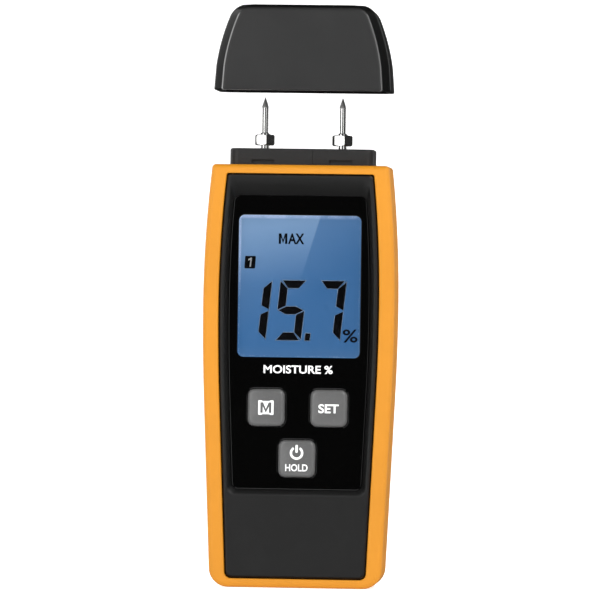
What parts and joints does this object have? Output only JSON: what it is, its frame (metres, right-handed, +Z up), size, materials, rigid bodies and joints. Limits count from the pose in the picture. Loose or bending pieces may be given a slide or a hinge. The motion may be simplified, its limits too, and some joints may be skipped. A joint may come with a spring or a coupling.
{
  "type": "moisture meter",
  "caption": "Hand-held pin-type moisture meter: tapered case with an orange surround, lit display, square keys, steel electrodes and a pull-off cap shown lifted.",
  "frame": {"origin": "middle of the flat bottom end of the case", "axes": "+Z up along the case towards the electrodes, front face and display towards -Y, +X to the right seen from the front"},
  "size_m": [0.0624, 0.03, 0.1897],
  "materials": {
    "orange_shell": "satin moulded, fine texture",
    "black_shell": "fine spark texture",
    "gloss_panel": "polished",
    "clear_window": "clear polished",
    "display": "backlit blue with dark segments",
    "white_plastic": "moulded",
    "grey_key": "satin with printed legend",
    "circuit_board": "solder mask over copper tracks",
    "chip_plastic": "moulded epoxy",
    "soft_grey": "soft",
    "polished_steel": "turned and polished",
    "plated_steel": "zinc plated",
    "brass_fitting": "machined",
    "red_lead": "smooth sleeve",
    "blue_lead": "smooth sleeve",
    "cell_sleeve": "printed film over the can"
  },
  "bodies": {
    "case": {"orange_frame": "orange_shell", "front_case": "black_shell", "rear_cover": "black_shell", "electrode_head": "black_shell", "gloss_panel": "gloss_panel", "display_window": "clear_window", "lcd_glass": "display", "backlight_guide": "white_plastic", "lcd_holder": "white_plastic", "main_board": "circuit_board", "controller_chip": "chip_plastic", "amplifier_chip": "chip_plastic", "sounder": "chip_plastic", "switch_mode": "chip_plastic", "switch_set": "chip_plastic", "switch_hold": "chip_plastic", "zebra_strip": "soft_grey", "pin_left": "polished_steel", "pin_right": "polished_steel", "nut_left": "plated_steel", "nut_right": "plated_steel", "cell_spring_1": "plated_steel", "cell_spring_2": "plated_steel", "cell_spring_3": "plated_steel", "cell_contact_1": "plated_steel", "cell_contact_2": "plated_steel", "cell_contact_3": "plated_steel", "case_screw_1": "plated_steel", "case_screw_2": "plated_steel", "case_screw_3": "plated_steel", "case_screw_4": "plated_steel", "board_screw_1": "plated_steel", "board_screw_2": "plated_steel", "board_screw_3": "plated_steel", "board_screw_4": "plated_steel", "socket_left": "brass_fitting", "socket_right": "brass_fitting", "terminal_left": "brass_fitting", "terminal_right": "brass_fitting", "lead_left": "red_lead", "lead_right": "blue_lead", "cell_1": "cell_sleeve", "cell_2": "cell_sleeve", "cell_3": "cell_sleeve"},
    "cap": {"pin_cap": "black_shell"},
    "door": {"battery_door": "black_shell", "door_foam": "soft_grey"},
    "mode_key": {"key_mode": "grey_key"},
    "mode_plunger": {"plunger_mode": "white_plastic"},
    "set_key": {"key_set": "grey_key"},
    "set_plunger": {"plunger_set": "white_plastic"},
    "hold_key": {"key_hold": "grey_key"},
    "hold_plunger": {"plunger_hold": "white_plastic"}
  },
  "joints": [
    {"name": "cap_pull", "type": "slide", "parent": "case", "child": "cap", "axis": [0, 0, 1], "range_m": [-0.0239, 0.016]},
    {"name": "door_tip", "type": "hinge", "parent": "case", "child": "door", "pos_m": [0, 0.014, 0.0099], "axis": [-1, 0, 0], "range_deg": [0, 38]},
    {"name": "mode_press", "type": "slide", "parent": "case", "child": "mode_key", "axis": [0, 1, 0], "range_m": [0, 0.0005], "stiffness_N_per_m": 900},
    {"name": "mode_click", "type": "slide", "parent": "case", "child": "mode_plunger", "axis": [0, 1, 0], "range_m": [0, 0.0005]},
    {"name": "set_press", "type": "slide", "parent": "case", "child": "set_key", "axis": [0, 1, 0], "range_m": [0, 0.0005], "stiffness_N_per_m": 900},
    {"name": "set_click", "type": "slide", "parent": "case", "child": "set_plunger", "axis": [0, 1, 0], "range_m": [0, 0.0005]},
    {"name": "hold_press", "type": "slide", "parent": "case", "child": "hold_key", "axis": [0, 1, 0], "range_m": [0, 0.0005], "stiffness_N_per_m": 900},
    {"name": "hold_click", "type": "slide", "parent": "case", "child": "hold_plunger", "axis": [0, 1, 0], "range_m": [0, 0.0005]}
  ],
  "couplings": [
    {"joint": "mode_click", "follows": "mode_press", "ratio": 1},
    {"joint": "set_click", "follows": "set_press", "ratio": 1},
    {"joint": "hold_click", "follows": "hold_press", "ratio": 1}
  ]
}
